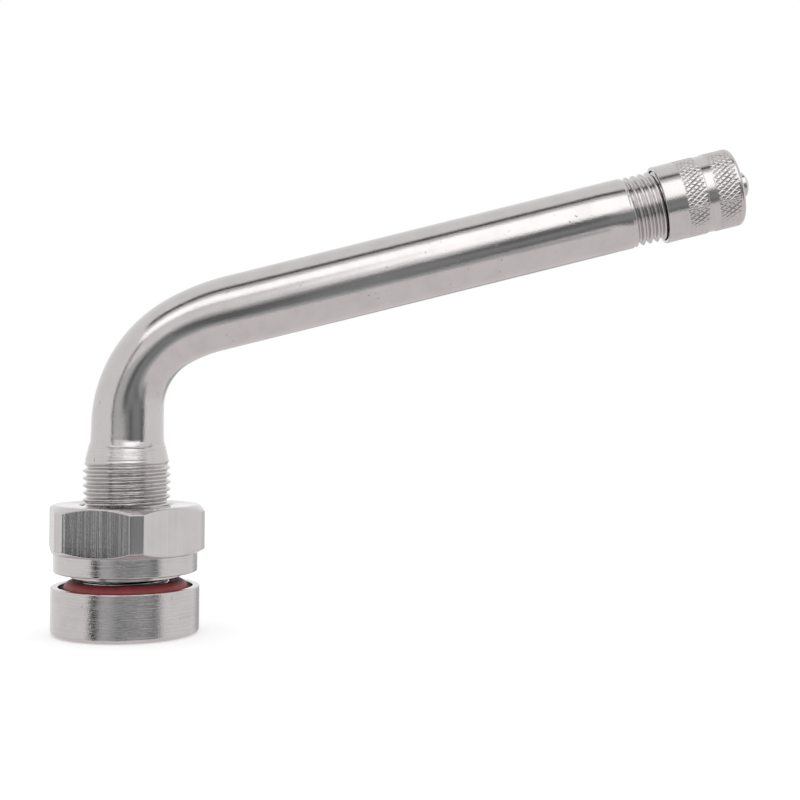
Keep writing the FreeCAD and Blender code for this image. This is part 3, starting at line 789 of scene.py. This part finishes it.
# Screens in front of and behind the object that only the metal mirrors, upright at a distance
# along -Y. Each has its own grey, or white. Each panel on it is (from, to, softness) across,
# (from, to, softness) upwards and its grey, in paint order. lowerEdge gives the height below
# which the screen takes the warm colour from below, at some places across.
warmBelow = (0.9, 0.862, 0.865)
screenTint = {"edgeSoft": 4, "coolBelow": (0.35, 0.7), "lessRed": 0.045, "moreBlue": 0.01}
screens = {
    "studioFront": {
        "distance": 180, "across": (-180, 560, 220), "heights": (-150, 150, 130),
        "lowerEdge": [(-150, -112), (10, -112), (100, -76), (130, -62), (150, -70), (210, -112), (320, -160)],
        "panels": [
            ((-112, 560, 4), (-160, 37, 2), 0.66),     # whole screen
            ((430, 700, 60), (-160, 160, 10), 1.0),    # bright far side
            ((8, 400, 24), (-160, 37, 2), 0.34),       # darker middle
            ((75, 300, 25), (20, 170, 1), 0.31),       # taller on the right
            ((75, 300, 25), (84, 260, 50), 1.9),       # brightens upwards there
            ((0, 110, 30), (76, 260, 22), 1.85),       # and on its left
            ((52, 92, 16), (5, 60, 8), 0.18),          # dark upright patch
            ((-24, 26, 14), (-160, 10, 8), 0.18),      # dark lower left
            ((70, 210, 25), (-75, -30, 18), 0.22),     # dark low right
            ((232, 340, 22), (-40, 130, 10), 0.2),     # right post
            ((-143, -119, 3), (-150, 130, 8), 0.05),   # narrow left post
            ((-160, -106, 4), (-70, 4, 5), 0.27),      # its wider foot
        ],
    },
    "nearFront": {"distance": 60, "across": (-54, 82, 1), "heights": (-17, -3, 1), "grey": 0.5},
    "nearPost": {"distance": 59, "across": (-53, -34, 1), "heights": (-34, -3, 1), "grey": 0.015},
    "studioBack": {
        "distance": -300, "across": (-190, 260, 90), "heights": (-160, 170, 70),
        "lowerEdge": [(-200, -120), (300, -120)],
        "panels": [
            ((-150, 220, 30), (-170, 6, 5), 0.78),
            ((-110, -50, 16), (-170, 6, 5), 0.5),
            ((30, 150, 30), (-95, -20, 18), 0.5),
        ],
    },
}


def shadedSheet(name, places, colours, faces):
    # A glowing sheet that only reflections see, coloured point by point.
    material, tree = newFinish(name)
    shade = tree.node("ShaderNodeAttribute", {"attribute_name": "shade"}, out="Color")
    finishWith(material, tree, tree.node("ShaderNodeEmission", {}, {"Color": shade}))
    sheet = addSheet(name, places, faces, material)
    shades = sheet.data.color_attributes.new("shade", "FLOAT_COLOR", "POINT")
    shades.data.foreach_set("color", np.array([(*colour, 1) for colour in colours], np.float32).ravel())
    sheet.visible_camera = False
    sheet.visible_diffuse = False


def gridFaces(columns, rows):
    stride = columns + 1
    corners = [row * stride + column for row in range(rows) for column in range(columns)]
    return [(first, first + 1, first + stride + 1, first + stride) for first in corners]


def inPanel(value, edges):
    low, high, soft = edges
    return fade(value, low - soft, low + soft) * (1 - fade(value, high - soft, high + soft))


def screenColour(look, across, height):
    grey = look.get("grey", 1.0)
    for sideways, upwards, shade in look.get("panels", []):
        grey += (shade - grey) * float(inPanel(across, sideways) * inPanel(height, upwards))
    cool = 1 - float(fade(grey, *screenTint["coolBelow"]))
    cold = (grey * (1 - screenTint["lessRed"] * cool), grey, grey * (1 + screenTint["moreBlue"] * cool))
    if "lowerEdge" not in look:
        return cold
    edge = np.interp(across, *zip(*look["lowerEdge"]))
    upper = float(fade(height, edge - screenTint["edgeSoft"], edge + screenTint["edgeSoft"]))
    return tuple(warm + (plain - warm) * upper for warm, plain in zip(warmBelow, cold))


def makeScreen(name, look):
    left, right, columns = look["across"]
    low, high, rows = look["heights"]
    spots = [(across, height) for height in np.linspace(low, high, rows + 1)
             for across in np.linspace(left, right, columns + 1)]
    shadedSheet(name, [(across, -look["distance"], height) for across, height in spots],
                [screenColour(look, *spot) for spot in spots], gridFaces(columns, rows))


for screenName, screenLook in screens.items():
    makeScreen(screenName, screenLook)

world = bpy.data.worlds.new("whiteStudio")
scene.world = world
world.use_nodes = True
world.node_tree.nodes["Background"].inputs["Color"].default_value = (1, 1, 1, 1)
world.node_tree.nodes["Background"].inputs["Strength"].default_value = 1.0

# One long sheet over the arm and parallel to it, graded by elevation seen square to the arm: a
# bright softbox, a paler gap and a dark rail with soft edges
overhead = {
    "distance": 430, "along": (-230, 330), "rows": 140,
    "levels": [(12, 1.0), (17.5, 1.05), (20.5, 1.88), (56, 1.88), (58.5, 0.9), (67, 0.85), (70, 0.1),
               (77.5, 0.08), (80.5, 0.8), (84, 1.0), (88, 1.0)],
}


def makeOverhead():
    o = overhead
    elevations, levels = zip(*o["levels"])
    places, colours = [], []
    for elevation in np.linspace(elevations[0], elevations[-1], o["rows"] + 1):
        level = float(np.interp(elevation, elevations, levels))
        for along in o["along"]:
            places.append(armBase.ring(o["distance"], along, np.array([math.radians(90 - elevation)]))[0])
            colours.append((level, level, level))
    shadedSheet("overhead", places, colours, gridFaces(1, o["rows"]))


makeOverhead()

# What metal sees far below: a faintly warm sheet
underGlow = {"reach": 900, "level": -190}


def makeUnderGlow():
    reach, level = underGlow["reach"], underGlow["level"]
    shadedSheet("underGlow", [(x * reach, y * reach, level) for x, y in ((-1, -1), (1, -1), (1, 1), (-1, 1))],
                [warmBelow] * 4, [(0, 1, 2, 3)])


makeUnderGlow()

camera = {"place": (29.93, -143.0, 19.53), "tilt": 0.53, "roll": 0.547, "lens": 58.5, "sensor": 36,
          "clip": (5, 20000)}


def makeCamera():
    c = camera
    data = bpy.data.cameras.new("camera")
    data.lens = c["lens"]
    data.sensor_width = c["sensor"]
    data.clip_start, data.clip_end = (distance * millimetre for distance in c["clip"])
    holder = bpy.data.objects.new("camera", data)
    scene.collection.objects.link(holder)
    holder.matrix_world = (Matrix.Translation(Vector(c["place"]) * millimetre)
                           @ Matrix.Rotation(math.radians(90 + c["tilt"]), 4, "X")
                           @ Matrix.Rotation(math.radians(c["roll"]), 4, "Z"))
    return holder


scene.camera = makeCamera()
print("studio ready")
